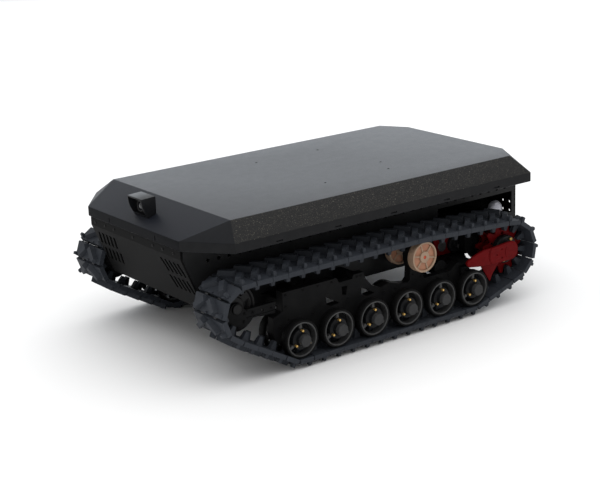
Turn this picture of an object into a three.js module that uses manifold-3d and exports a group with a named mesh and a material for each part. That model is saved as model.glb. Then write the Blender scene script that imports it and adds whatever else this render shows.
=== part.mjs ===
// Two-track crawler robot chassis.
// Units are millimetres. +X points to the front of the vehicle, +Y to its left, +Z up.
// Shapes are laid out in a drawing frame whose ground is z = GROUND_Z; the top group moves
// the whole vehicle so that the origin is the centre of its footprint on the ground.
import * as THREE from 'three';
import { mergeVertices } from 'three/addons/utils/BufferGeometryUtils.js';
import { ConvexGeometry } from 'three/addons/geometries/ConvexGeometry.js';
import Module from 'manifold-3d';

const wasm = await Module();
wasm.setup();

// ---------------------------------------------------------------- driving dimensions
const GROUND_Z = 16.7;
const SHIFT_X = 23.8;

// armoured cover
const TOP_Z = 611.8, SKIRT_TOP = 547.5, SKIRT_BOT = 509.4, COVER_T = 5;
const TOP_FRONT_X = 654.3, TOP_HALF = 419.4;
const TOP_REAR_X = -813.9, TOP_REAR_HALF = 302.9, TOP_REAR_SIDE_X = -742.3;
const SKIRT_HALF = 500, SKIRT_FRONT_SIDE_X = 693.7, SKIRT_FRONT_X = 824.4, SKIRT_FRONT_HALF = 332.7;
const SKIRT_REAR_SIDE_X = -784, SKIRT_REAR_X = -872, SKIRT_REAR_HALF = 333;

// hull
const WALL_Y = 328, WALL_T = 10, HULL_TOP = 505.5, HULL_BOT = 222, RAIL_BOT = 474;
const HULL_FRONT_X = 818, HULL_REAR_X = -862;

// running gear
const WHEEL_X0 = 434.6, WHEEL_PITCH = 174.26, WHEEL_Z = 130, WHEEL_R = 75, WHEEL_COUNT = 6;
const RIM_R = 66.5;
const OUT_Y0 = 496, OUT_Y1 = 533, IN_Y0 = 352, IN_Y1 = 389;
const ROLLER_X = -174, ROLLER_Z = 319, ROLLER_R = 62;
const IDLER_Z = 288, IDLER_R = 90.5;
const SPROCKET_X = -652, SPROCKET_Z = 243, TEETH = 11, TOOTH_R = 108, ROOT_R = 76;
const BEAM_Y0 = 425, BEAM_Y1 = 460;

// track
const TRACK_Y0 = 345, TRACK_Y1 = 540, BELT_T = 18, LUG_H = 20, HORN_H = 34;
const LINKS = 49, BOTTOM_LINKS = 13;
const HORN_OUT = [470, 491], HORN_IN = [394, 415];
const MID_BOTTOM = WHEEL_Z - WHEEL_R - BELT_T / 2 - 0.3;

// ---------------------------------------------------------------- helpers
const rad = (d) => (d * Math.PI) / 180;
function toManifold(geometry) {
  const g = geometry.clone();
  g.deleteAttribute('normal');
  g.deleteAttribute('uv');
  const m = mergeVertices(g, 1e-4);
  return new wasm.Manifold(new wasm.Mesh({
    numProp: 3,
    vertProperties: new Float32Array(m.attributes.position.array),
    triVerts: new Uint32Array(m.index.array),
  }));
}
function fromManifold(solid) {
  const mesh = solid.getMesh();
  const g = new THREE.BufferGeometry();
  g.setAttribute('position', new THREE.BufferAttribute(new Float32Array(mesh.vertProperties), 3));
  g.setIndex(new THREE.BufferAttribute(new Uint32Array(mesh.triVerts), 1));
  g.computeVertexNormals();
  return g;
}
function join(list) { let a = toManifold(list[0]); for (const b of list.slice(1)) a = a.add(toManifold(b)); return fromManifold(a); }
function cut(base, tools) { let a = toManifold(base); for (const b of tools) a = a.subtract(toManifold(b)); return fromManifold(a); }

// drops points that lie on the straight line between their neighbours
function clean(points) {
  const out = points.slice();
  let again = true;
  while (again) {
    again = false;
    for (let i = 0; i < out.length; i++) {
      const a = out[(i + out.length - 1) % out.length], b = out[i], c = out[(i + 1) % out.length];
      const area = (b[0] - a[0]) * (c[1] - a[1]) - (b[1] - a[1]) * (c[0] - a[0]);
      if (Math.abs(area) / Math.hypot(c[0] - a[0], c[1] - a[1]) < 0.02) { out.splice(i, 1); again = true; break; }
    }
  }
  return out;
}
function shapeOf(points0, holes0 = []) {
  const points = clean(points0), holes = holes0.map(clean);
  if (THREE.ShapeUtils.area(points.map((p) => new THREE.Vector2(p[0], p[1]))) < 0) points.reverse();
  const s = new THREE.Shape(points.map((p) => new THREE.Vector2(p[0], p[1])));
  for (const h of holes) s.holes.push(new THREE.Path(h.map((p) => new THREE.Vector2(p[0], p[1]))));
  return s;
}
// an outline in the X-Z plane, extruded from y0 to y1
function plateY(points, y0, y1, holes = []) {
  const g = new THREE.ExtrudeGeometry(shapeOf(points, holes), { depth: y1 - y0, bevelEnabled: false });
  g.rotateX(Math.PI / 2);
  g.translate(0, y1, 0);
  return g;
}
// an outline in the X-Y plane, extruded from z0 to z1
function plateZ(points, z0, z1, holes = []) {
  const g = new THREE.ExtrudeGeometry(shapeOf(points, holes), { depth: z1 - z0, bevelEnabled: false });
  g.translate(0, 0, z0);
  return g;
}
function box(x0, x1, y0, y1, z0, z1) {
  const g = new THREE.BoxGeometry(x1 - x0, y1 - y0, z1 - z0);
  g.translate((x0 + x1) / 2, (y0 + y1) / 2, (z0 + z1) / 2);
  return g;
}
function circle(x, z, r, n, phase = 0) {
  const out = [];
  for (let i = 0; i < n; i++) out.push([x + r * Math.cos(phase + (2 * Math.PI * i) / n), z + r * Math.sin(phase + (2 * Math.PI * i) / n)]);
  return out;
}
// a turned piece about a Y axis; profile is a list of [radius, y]
function turned(profile, segments, closed = false) {
  const pts = profile.map((p) => new THREE.Vector2(p[0], p[1]));
  if (closed) pts.push(pts[0].clone());
  return new THREE.LatheGeometry(pts, segments);
}
function cylY(x, z, r, y0, y1, n = 16) {
  const g = new THREE.CylinderGeometry(r, r, y1 - y0, n);
  g.translate(x, (y0 + y1) / 2, z);
  return g;
}
function cylX(y, z, r, x0, x1, n = 16) {
  const g = new THREE.CylinderGeometry(r, r, x1 - x0, n);
  g.rotateZ(Math.PI / 2);
  g.translate((x0 + x1) / 2, y, z);
  return g;
}
function cylZ(x, y, r, z0, z1, n = 12) {
  const g = new THREE.CylinderGeometry(r, r, z1 - z0, n);
  g.rotateX(Math.PI / 2);
  g.translate(x, y, (z0 + z1) / 2);
  return g;
}
// a band between two y values on the left side, or its mirror image on the right side
const band = (side, a, b) => (side > 0 ? [a, b] : [-b, -a]);

const finish = {
  cover: { color: 0x686c74, roughness: 0.55, metalness: 0.35 },
  hull: { color: 0x2a2b2d, roughness: 0.35, metalness: 0.4 },
  dark: { color: 0x303235, roughness: 0.5, metalness: 0.4 },
  panel: { color: 0x3c3d3e, roughness: 0.55, metalness: 0.3 },
  rubber: { color: 0x32363c, roughness: 0.8, metalness: 0.0 },
  tyre: { color: 0x222426, roughness: 0.85, metalness: 0.0 },
  rim: { color: 0x8d8f90, roughness: 0.4, metalness: 0.6 },
  steel: { color: 0xb9bbbd, roughness: 0.3, metalness: 0.9 },
  red: { color: 0x7c1d20, roughness: 0.45, metalness: 0.2 },
  teal: { color: 0x17504f, roughness: 0.5, metalness: 0.2 },
  cream: { color: 0xd9b79f, roughness: 0.6, metalness: 0.0 },
  lens: { color: 0x0a0b0d, roughness: 0.08, metalness: 0.1 },
  green: { color: 0x24402f, roughness: 0.6, metalness: 0.1 },
};
const root = new THREE.Group();
const vehicle = new THREE.Group();
vehicle.position.set(SHIFT_X, 0, -GROUND_Z);
root.add(vehicle);
function piece(name, geometry, look, position = [0, 0, 0], parent = vehicle) {
  const mesh = new THREE.Mesh(geometry, new THREE.MeshStandardMaterial(finish[look]));
  mesh.name = name;
  mesh.position.set(...position);
  parent.add(mesh);
  return mesh;
}

// ---------------------------------------------------------------- armoured cover
function coverHull(t, zTop, zBot) {
  // t is the inset of every face, so the inner and outer skins are parallel
  const k = t * 0.55;
  const v = [];
  for (const s of [1, -1]) {
    v.push([TOP_FRONT_X - k, s * (TOP_HALF - k), zTop]);
    v.push([TOP_REAR_SIDE_X + k, s * (TOP_HALF - k), zTop]);
    v.push([TOP_REAR_X + k, s * (TOP_REAR_HALF - k), zTop]);
    for (const z of [SKIRT_TOP - k * 0.4, zBot]) {
      v.push([SKIRT_FRONT_X - t, s * (SKIRT_FRONT_HALF - k), z]);
      v.push([SKIRT_FRONT_SIDE_X - k, s * (SKIRT_HALF - t), z]);
      v.push([SKIRT_REAR_SIDE_X + k, s * (SKIRT_HALF - t), z]);
      v.push([SKIRT_REAR_X + t, s * (SKIRT_REAR_HALF - k), z]);
    }
  }
  return new ConvexGeometry(v.map((p) => new THREE.Vector3(...p)));
}
const coverTools = [coverHull(COVER_T, TOP_Z - COVER_T, SKIRT_BOT - 30)];
for (const [x, y] of [[79, 234], [-243, 235], [-294, 123.5], [79, -234], [-243, -235]]) coverTools.push(cylZ(x, y, 5, TOP_Z - 20, TOP_Z + 20, 8));
for (const s of [1, -1]) {
  for (const x of [498, 226, -46.5, -319, -591]) coverTools.push(box(x - 15, x + 15, s * SKIRT_HALF - 12, s * SKIRT_HALF + 12, 516, 524));
  coverTools.push(box(SKIRT_FRONT_X - 12, SKIRT_FRONT_X + 12, s * 168 - 4, s * 168 + 4, 514, 534));
  coverTools.push(box(SKIRT_REAR_X - 12, SKIRT_REAR_X + 12, s * 168 - 4, s * 168 + 4, 514, 534));
}
piece('top_cover', cut(coverHull(0, TOP_Z, SKIRT_BOT), coverTools), 'cover');

// camera housing: a hooded box on the front slope, its front curving back towards the slope
const SLOPE = (TOP_Z - SKIRT_TOP) / (SKIRT_FRONT_X - TOP_FRONT_X);
const slopeZ = (x) => TOP_Z - (x - TOP_FRONT_X) * SLOPE + 0.4;
const housing = plateY([[741, slopeZ(741)], [777, slopeZ(777)], [788, 584], [796, 600], [801, 614], [804, 628], [804.6, 641], [802, 644], [743, 646.5], [741, 644]], -52, 52);
piece('camera_housing', cut(housing, [box(766, 830, -47, 47, 577, 639)]), 'dark');
piece('camera_lens', cylX(0, 606, 19, 766.3, 784, 20), 'lens');

// ---------------------------------------------------------------- hull
const GLACIS_TOP = [818, RAIL_BOT], GLACIS_LOW = [730, 262], NOSE = [650, HULL_BOT];
for (const side of [1, -1]) {
  const tag = side > 0 ? 'left' : 'right';
  const [y0, y1] = band(side, WALL_Y - WALL_T, WALL_Y);
  const outline = [
    [NOSE[0] - 6, HULL_BOT + 6.5], [GLACIS_LOW[0] - 10, GLACIS_LOW[1] + 2], [GLACIS_TOP[0] - 8.5, RAIL_BOT - 2], [GLACIS_TOP[0] - 8.5, HULL_TOP],
    [HULL_REAR_X + 0.3, HULL_TOP], [HULL_REAR_X + 0.3, HULL_BOT + 6.5],
  ];
  const holes = [[[-425, 333], [-425, 425], [-845, 425], [-845, 333]]];
  for (let i = 0; i < 33; i++) holes.push(circle(700 - 47 * i, 449, 8, 8, Math.PI / 8));
  // a flat rail runs along the top edge of each wall
  const [r0, r1] = band(side, WALL_Y - 1, WALL_Y + 6);
  const rail = [[GLACIS_TOP[0] - 8.5, RAIL_BOT], [GLACIS_TOP[0] - 8.5, HULL_TOP], [HULL_REAR_X + 0.3, HULL_TOP], [HULL_REAR_X + 0.3, RAIL_BOT]];
  piece(`hull_side_${tag}`, join([plateY(outline, y0, y1, holes), plateY(rail, r0, r1)]), 'hull');
}
// floor with the rising nose plate
piece('hull_floor', plateY([[HULL_REAR_X + 0.3, HULL_BOT], [NOSE[0], HULL_BOT], [GLACIS_LOW[0] - 0.6, GLACIS_LOW[1]], [GLACIS_LOW[0] - 6, GLACIS_LOW[1] + 3.4],
  [NOSE[0] - 2, HULL_BOT + 6], [HULL_REAR_X + 0.3, HULL_BOT + 6]], -WALL_Y, WALL_Y), 'hull');
// front panel: screw flange on top, undercut slope with louvre slots below it
const panelT = 6;
let frontPanel = plateY([[GLACIS_LOW[0], GLACIS_LOW[1]], [GLACIS_TOP[0], RAIL_BOT], [GLACIS_TOP[0], HULL_TOP], [GLACIS_TOP[0] - 7, HULL_TOP],
  [GLACIS_TOP[0] - 7, RAIL_BOT + 1], [GLACIS_LOW[0] - 7, GLACIS_LOW[1] + 4]], -WALL_Y, WALL_Y);
const lean = Math.atan2(GLACIS_TOP[0] - GLACIS_LOW[0], RAIL_BOT - GLACIS_LOW[1]);
const louvres = [];
for (const s of [1, -1]) for (const [top, foot, zTop, zFoot] of [[172, 191, 449, 396], [182, 199, 378, 326]]) for (let i = 0; i < 5; i++) {
  const yTop = top + 29 * i, yFoot = foot + 29 * i, tall = (zTop - zFoot) / Math.cos(lean);
  const g = new THREE.BoxGeometry(30, 14, Math.hypot(tall, yFoot - yTop));
  g.rotateX(s * Math.atan2(yFoot - yTop, tall));
  g.rotateY(lean);
  const z = (zTop + zFoot) / 2;
  g.translate(GLACIS_LOW[0] + (z - GLACIS_LOW[1]) * Math.tan(lean), (s * (yTop + yFoot)) / 2, z);
  louvres.push(g);
}
frontPanel = cut(frontPanel, louvres);
piece('front_panel', frontPanel, 'panel');
const vents = [];
for (const s of [1, -1]) for (let i = 0; i < 2; i++) for (const z of [331, 369]) vents.push(cylX(s * (256 + 39 * i), z, 6, HULL_REAR_X - 20, HULL_REAR_X + 10, 10));
piece('rear_panel', cut(box(HULL_REAR_X - 6, HULL_REAR_X, -WALL_Y, WALL_Y, HULL_BOT, HULL_TOP), vents), 'panel');
// equipment deck under the cover: a frame around a large opening
piece('deck_frame', plateZ([[-855, -317.7], [809, -317.7], [809, 317.7], [-855, 317.7]], 499.5, HULL_TOP, [[[-400, -240], [-400, 240], [640, 240], [640, -240]]]), 'dark');
piece('battery_box', box(-330, 90, -230, 230, 228.3, 400), 'green');
piece('controller_box', box(170, 470, -190, 190, 228.3, 330), 'steel');

// ---------------------------------------------------------------- track path
// middle line of the belt, as circles that it wraps: [x, z, radius]; travelled rear corner -> sprocket -> roller -> idler -> front corner
const HALF = BELT_T / 2;
const PITCH = 2 * 123.72 * Math.sin(Math.PI / TEETH);
const cornerSpan = BOTTOM_LINKS * PITCH;
const cornerFront = [455.9, MID_BOTTOM], cornerRear = [455.9 - cornerSpan, MID_BOTTOM];
function tangentPoint(p, c, r, sign) {
  // point where a line from p touches a circle
  const dx = c[0] - p[0], dz = c[1] - p[1];
  const d = Math.hypot(dx, dz), a = Math.atan2(dz, dx), b = Math.asin(r / d);
  const L = Math.sqrt(d * d - r * r), t = a + sign * b;
  return [p[0] + L * Math.cos(t), p[1] + L * Math.sin(t)];
}
function outerTangent(c1, r1, c2, r2) {
  // upper outer tangent of two circles, c1 behind c2 on the top run
  const dx = c2[0] - c1[0], dz = c2[1] - c1[1];
  const d = Math.hypot(dx, dz), a = Math.atan2(dz, dx), b = Math.acos((r1 - r2) / d);
  const t = a + b;
  return [[c1[0] + r1 * Math.cos(t), c1[1] + r1 * Math.sin(t)], [c2[0] + r2 * Math.cos(t), c2[1] + r2 * Math.sin(t)]];
}
function pathFor(idlerX) {
  const S = [SPROCKET_X, SPROCKET_Z], sr = 123.72;
  const Rl = [ROLLER_X, ROLLER_Z + 1.2], rr = ROLLER_R + HALF + 0.4;
  const I = [idlerX, IDLER_Z], ir = 106;
  const pts = [];
  const arc = (c, r, from, to) => {
    // sampled clockwise, seen with x to the right and z up
    let a0 = Math.atan2(from[1] - c[1], from[0] - c[0]), a1 = Math.atan2(to[1] - c[1], to[0] - c[0]);
    while (a1 > a0) a1 -= 2 * Math.PI;
    const n = Math.max(2, Math.ceil(((a0 - a1) * r) / 0.5));
    for (let i = 0; i <= n; i++) { const a = a0 + ((a1 - a0) * i) / n; pts.push([c[0] + r * Math.cos(a), c[1] + r * Math.sin(a)]); }
  };
  pts.push(cornerRear);
  const t1 = tangentPoint(cornerRear, S, sr, 1);
  const [a1, a2] = outerTangent(S, sr, Rl, rr);
  const [b1, b2] = outerTangent(Rl, rr, I, ir);
  arc(S, sr, t1, a1);
  arc(Rl, rr, a2, b1);
  const t2 = tangentPoint(cornerFront, I, ir, -1);
  arc(I, ir, b2, t2);
  pts.push(cornerFront);
  return pts;
}
function walk(pts, count, step) {
  // vertices on the path with exactly one pitch between neighbours; returns them and the leftover
  const out = [pts[0]];
  let p = pts[0], k = 0;
  for (let n = 0; n < count; n++) {
    let found = null;
    for (let i = k; i < pts.length - 1 && !found; i++) {
      const a = i === k ? p : pts[i], b = pts[i + 1];
      if (Math.hypot(b[0] - p[0], b[1] - p[1]) >= step) {
        let lo = 0, hi = 1;
        for (let j = 0; j < 50; j++) {
          const m = (lo + hi) / 2, q = [a[0] + (b[0] - a[0]) * m, a[1] + (b[1] - a[1]) * m];
          if (Math.hypot(q[0] - p[0], q[1] - p[1]) < step) lo = m; else hi = m;
        }
        found = [a[0] + (b[0] - a[0]) * hi, a[1] + (b[1] - a[1]) * hi];
        k = i;
      }
    }
    if (!found) return { out, left: -(count - n) * step - Math.hypot(pts.at(-1)[0] - p[0], pts.at(-1)[1] - p[1]) * -1 };
    p = found;
    out.push(p);
  }
  const e = pts.at(-1);
  return { out, left: Math.hypot(e[0] - p[0], e[1] - p[1]) };
}
// the tensioner sets the idler so that the chain closes
let lo = 600, hi = 760;
for (let i = 0; i < 40; i++) {
  const mid = (lo + hi) / 2;
  const w = walk(pathFor(mid), LINKS - BOTTOM_LINKS - 1, PITCH);
  const gap = w.out.length < LINKS - BOTTOM_LINKS ? -1 : Math.hypot(cornerFront[0] - w.out.at(-1)[0], cornerFront[1] - w.out.at(-1)[1]) - PITCH;
  if (gap > 0) hi = mid; else lo = mid;
}
const IDLER_X = (lo + hi) / 2;
const loop = walk(pathFor(IDLER_X), LINKS - BOTTOM_LINKS - 1, PITCH).out;
loop.push(cornerFront);
for (let i = 1; i < BOTTOM_LINKS; i++) loop.push([cornerFront[0] - i * PITCH, MID_BOTTOM]);

function offsetLoop(pts, d) {
  // moves every side of the closed polygon outward by d (negative is inward), with sharp corners
  const n = pts.length, sides = pts.map((p, i) => {
    const q = pts[(i + 1) % n], l = Math.hypot(q[0] - p[0], q[1] - p[1]);
    const t = [(q[0] - p[0]) / l, (q[1] - p[1]) / l];
    return { p: [p[0] - t[1] * d, p[1] + t[0] * d], t };
  });
  return pts.map((_, i) => {
    const a = sides[(i + n - 1) % n], b = sides[i];
    const det = a.t[0] * b.t[1] - a.t[1] * b.t[0];
    if (Math.abs(det) < 1e-6) return b.p;
    const s = ((b.p[0] - a.p[0]) * b.t[1] - (b.p[1] - a.p[1]) * b.t[0]) / det;
    return [a.p[0] + a.t[0] * s, a.p[1] + a.t[1] * s];
  });
}
const outerLoop = offsetLoop(loop, HALF), innerLoop = offsetLoop(loop, -HALF);
function trackGeometry(side) {
  const n = loop.length, outline = [];
  for (let i = 0; i < n; i++) {
    const p = outerLoop[i], a = loop[i], b = loop[(i + 1) % n];
    const l = Math.hypot(b[0] - a[0], b[1] - a[1]), t = [(b[0] - a[0]) / l, (b[1] - a[1]) / l], m = [-t[1], t[0]];
    outline.push(p);
    for (const [u, v] of [[l / 2 - 15, HALF], [l / 2 - 9, HALF + LUG_H], [l / 2 + 9, HALF + LUG_H], [l / 2 + 15, HALF]]) outline.push([a[0] + t[0] * u + m[0] * v, a[1] + t[1] * u + m[1] * v]);
  }
  const [y0, y1] = band(side, TRACK_Y0, TRACK_Y1);
  let solid = toManifold(plateY(outline, y0, y1, [innerLoop]));
  for (let i = 0; i < n; i++) {
    const a = loop[i], b = loop[(i + 1) % n];
    const l = Math.hypot(b[0] - a[0], b[1] - a[1]), t = [(b[0] - a[0]) / l, (b[1] - a[1]) / l], m = [-t[1], t[0]];
    const horn = [[l / 2 - 13, -HALF + 2], [l / 2 + 13, -HALF + 2], [l / 2 + 6, -HALF - HORN_H], [l / 2 - 6, -HALF - HORN_H]].map(([u, v]) => [a[0] + t[0] * u + m[0] * v, a[1] + t[1] * u + m[1] * v]);
    for (const row of [HORN_OUT, HORN_IN]) { const [h0, h1] = band(side, ...row); solid = solid.add(toManifold(plateY(horn, h0, h1))); }
  }
  return fromManifold(solid);
}

// ---------------------------------------------------------------- running gear, once per side
// the sprocket teeth point at the joints between links
const rearJoint = loop.reduce((best, p) => (p[0] < best[0] ? p : best));
const toothPhase = Math.atan2(rearJoint[1] - SPROCKET_Z, rearJoint[0] - SPROCKET_X);
const G = 0.3;
for (const side of [1, -1]) {
  const tag = side > 0 ? 'left' : 'right', L = side > 0 ? 'L' : 'R';
  const flip = (prof) => (side > 0 ? prof : prof.map(([r, y]) => [r, -y]).reverse());
  piece(`track_${tag}`, trackGeometry(side), 'rubber');

  // side beam between the two rows of guide horns, with bores for the wheel axles and see-through windows
  const bores = [];
  for (let i = 0; i < WHEEL_COUNT; i++) bores.push(circle(WHEEL_X0 - WHEEL_PITCH * i, WHEEL_Z, 13, 16));
  const windows = [
    [[266, 240], [262, 205], [242, 197], [200, 201]],
    [[188, 262], [160, 262], [168, 224], [186, 230]],
    [[92, 238], [91, 210], [66, 197], [26, 202]],
  ];
  const beamTop = [[-470, 205], [-470, 228], [-404, 228], [-370, 203], [-230, 203], [-204, 268], [-160, 268], [-155, 214], [-140, 205], [-100, 212], [-49, 226], [-4, 216], [40, 236], [68, 268], [80, 298], [129, 298], [136, 282], [200, 282], [211, 302], [226, 305], [470, 305], [472, 228], [512, 211], [516, 150]];
  const beamOutline = [[-480, 104], [505, 104], ...beamTop.slice().reverse(), [-500, 150]];
  // its arms reach in to the hull wall, and the front one is the slideway of the tensioner
  piece(`side_beam_${tag}`, join([
    plateY(beamOutline, ...band(side, BEAM_Y0, BEAM_Y1), [...bores, ...windows]),
    box(360, 400, ...band(side, WALL_Y + G, BEAM_Y0 + 2), 236, 290),
    box(86, 124, ...band(side, WALL_Y + G, BEAM_Y0 + 2), 252, 290),
    box(430, 470, ...band(side, WALL_Y + G, BEAM_Y0 + 2), 240, 270),
  ]), 'dark');
  // rear bracket: a shelf from hull to beam that carries the tip of the sprocket arm, and the cross tube ahead of it
  const flipY = (list) => (side > 0 ? list : list.map(([x, y]) => [x, -y]));
  piece(`arm_bracket_${tag}`, join([
    plateZ(flipY([[-396, WALL_Y + G], [-560, WALL_Y + G], [-492, BEAM_Y0 - G], [-398, BEAM_Y0 - G]]), 211, 226),
    box(-462, -420, ...band(side, 404, 509.7), 228.3, 240),
    box(-462, -420, ...band(side, 404, BEAM_Y0 - G), 224, 240),
    cylY(-350, 212, 32, ...band(side, WALL_Y + G, BEAM_Y0 - G), 20),
    box(-400, -350, ...band(side, 391, BEAM_Y0 - G), 206, 222),
  ]), 'dark');

  // road wheels: core with rim disc, axle and inner wheel; separate outer tyre
  for (let i = 0; i < WHEEL_COUNT; i++) {
    const x = WHEEL_X0 - WHEEL_PITCH * i;
    const core = [[0, IN_Y0], [WHEEL_R, IN_Y0], [WHEEL_R, IN_Y1], [24, IN_Y1 + 2], [12, 421], [12, 464], [24, OUT_Y0 - 2], [RIM_R, OUT_Y0], [RIM_R, OUT_Y1 - 2], [40, OUT_Y1 - 2], [26, 558], [0, 558]];
    piece(`road_wheel_${L}${i + 1}`, turned(flip(core), 16), 'rim', [x, 0, WHEEL_Z]);
    piece(`road_tyre_${L}${i + 1}`, turned(flip([[RIM_R + 0.8, OUT_Y0], [WHEEL_R, OUT_Y0], [WHEEL_R, OUT_Y1], [RIM_R + 0.8, OUT_Y1]]), 16, true), 'tyre', [x, 0, WHEEL_Z]);
  }

  // return roller on its post
  const roller = [[0, 358], [ROLLER_R, 358], [ROLLER_R, IN_Y1], [18, IN_Y1 + 2], [10, 400], [10, 485], [18, OUT_Y0 - 2], [ROLLER_R, OUT_Y0], [ROLLER_R, OUT_Y1 - 3], [0, OUT_Y1 - 3]];
  piece(`return_roller_${tag}`, turned(flip(roller), 16), 'cream', [ROLLER_X, 0, ROLLER_Z]);
  piece(`roller_post_${tag}`, plateY([[-204, 268.4], [-160, 268.4], [-150, 290], [-150, 342], [-198, 342], [-212, 290]], ...band(side, BEAM_Y0, BEAM_Y1), [circle(ROLLER_X, ROLLER_Z, 11, 16)]), 'dark');

  // tensioner and idler
  const guard = [];
  for (let i = 0; i <= 14; i++) { const t = Math.PI + 0.62 + ((Math.PI - 0.72) * i) / 14; guard.push([IDLER_X + 84 * Math.cos(t), IDLER_Z + 84 * Math.sin(t)]); }
  const shoe = [[503, 279], [503, 232], [590, 238], ...guard, [IDLER_X + 34, 280], [IDLER_X + 24, 300], [IDLER_X + 12, 310], [IDLER_X - 12, 310], [IDLER_X - 24, 300], [IDLER_X - 34, 279.5]];
  piece(`tensioner_${tag}`, plateY(shoe, ...band(side, 452, 462), [circle(IDLER_X, IDLER_Z, 13, 16)]), 'dark', [0, 0, 0]);
  const idler = [[0, 418], [60, 418], [IDLER_R, 421], [IDLER_R, 447], [60, 450], [12.4, 450.4], [12.4, 464], [20, 464.4], [20, 468.6], [0, 468.6]];
  piece(`idler_${tag}`, turned(flip(idler), 20), 'dark', [IDLER_X, 0, IDLER_Z]);

  // drive: motor, gearbox, sprocket with its hub, outer support arm
  const gear = turned(flip([[0, WALL_Y + G], [78, WALL_Y + G], [78, 350], [40, 360], [40, 366], [0, 366]]), 20);
  gear.translate(SPROCKET_X, 0, SPROCKET_Z);
  piece(`drive_gearbox_${tag}`, join([gear,
    plateY([[-580, 227], [-392, 227], [-392, 300], [-410, 316], [-580, 316]], ...band(side, WALL_Y + G, 335)),
    cylY(-504, 266, 38, ...band(side, 334, 352), 24),
    box(-590, -516, ...band(side, 334, 392), 229, 305),
  ]), 'dark');
  const motor = turned(flip([[0, 150], [32, 150], [36, 156], [36, 262], [38, 270], [38, 296], [32, 307], [19, 314], [0, 316]]), 24);
  motor.translate(-778, 0, 350);
  piece(`drive_motor_${tag}`, join([motor, box(-800, -756, ...band(side, 160, 190), 228.3, 336), box(-800, -756, ...band(side, 226, 256), 228.3, 336)]), 'steel');
  const star = (y0, y1, bore) => {
    const out = [];
    for (let i = 0; i < TEETH; i++) {
      const a = (2 * Math.PI * i) / TEETH + toothPhase;
      for (const [r, da] of [[ROOT_R, -0.21], [TOOTH_R, -0.045], [TOOTH_R, 0.045], [ROOT_R, 0.21]]) out.push([SPROCKET_X + r * Math.cos(a + da), SPROCKET_Z + r * Math.sin(a + da)]);
    }
    return plateY(out, ...band(side, y0, y1), bore ? [circle(SPROCKET_X, SPROCKET_Z, bore, 16)] : []);
  };
  const drum = turned(flip([[0, 367], [50, 367], [50, 500], [0, 500]]), 16);
  drum.translate(SPROCKET_X, 0, SPROCKET_Z);
  piece(`sprocket_${tag}`, join([drum, star(459, 468, 0), star(417, 426, 0)]), 'red');
  piece(`sprocket_hub_${tag}`, turned(flip([[0, 500.3], [46, 500.3], [46, 506], [24, 508.5], [0, 508.5]]), 16), 'teal', [SPROCKET_X, 0, SPROCKET_Z]);
  const armOutline = [];
  for (let i = 0; i <= 12; i++) { const a = rad(78) + (rad(204) * i) / 12; armOutline.push([SPROCKET_X + 39 * Math.cos(a), SPROCKET_Z + 1 + 39 * Math.sin(a)]); }
  armOutline.push([-540, 206], [-474, 211], [-420, 221], [-408, 232], [-408, 242], [-424, 252], [-492, 274], [-540, 277]);
  // the arm carries a scraper blade that reaches down between the last road wheel and the sprocket
  const blade = [[-490, 218], [-497, 199], [-529, 150], [-542, 131], [-556, 158], [-585, 192], [-600, 214]];
  piece(`sprocket_arm_${tag}`, join([plateY(armOutline, ...band(side, 510, 524)), plateY(blade, ...band(side, 503, 512))]), 'red');
}

export default root;
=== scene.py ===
# Looks of the two-track crawler robot chassis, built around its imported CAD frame.
import bpy, bmesh, math, random
from mathutils import Matrix, Vector


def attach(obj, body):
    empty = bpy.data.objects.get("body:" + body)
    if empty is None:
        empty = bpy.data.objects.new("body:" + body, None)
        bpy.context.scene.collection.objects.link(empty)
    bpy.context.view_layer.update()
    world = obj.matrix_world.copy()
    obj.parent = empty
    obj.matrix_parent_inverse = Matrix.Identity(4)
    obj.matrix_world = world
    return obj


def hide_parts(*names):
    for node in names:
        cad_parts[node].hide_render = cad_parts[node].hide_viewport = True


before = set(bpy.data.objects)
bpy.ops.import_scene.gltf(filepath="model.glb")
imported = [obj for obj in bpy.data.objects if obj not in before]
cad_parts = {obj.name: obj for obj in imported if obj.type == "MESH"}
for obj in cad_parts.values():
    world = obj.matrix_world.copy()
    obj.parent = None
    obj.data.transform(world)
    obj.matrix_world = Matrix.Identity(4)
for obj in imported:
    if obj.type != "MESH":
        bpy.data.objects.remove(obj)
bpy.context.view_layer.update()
random.seed(7)

SX, GZ = 23.8, 16.7          # drawing frame -> vehicle frame, mm
MM = 0.001


def P(x, y, z):
    return Vector(((x + SX) * MM, y * MM, (z - GZ) * MM))


# ------------------------------------------------------------------ materials
def new_mat(name):
    m = bpy.data.materials.new(name)
    m.use_nodes = True
    nt = m.node_tree
    b = nt.nodes["Principled BSDF"]
    return m, nt, b


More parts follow.
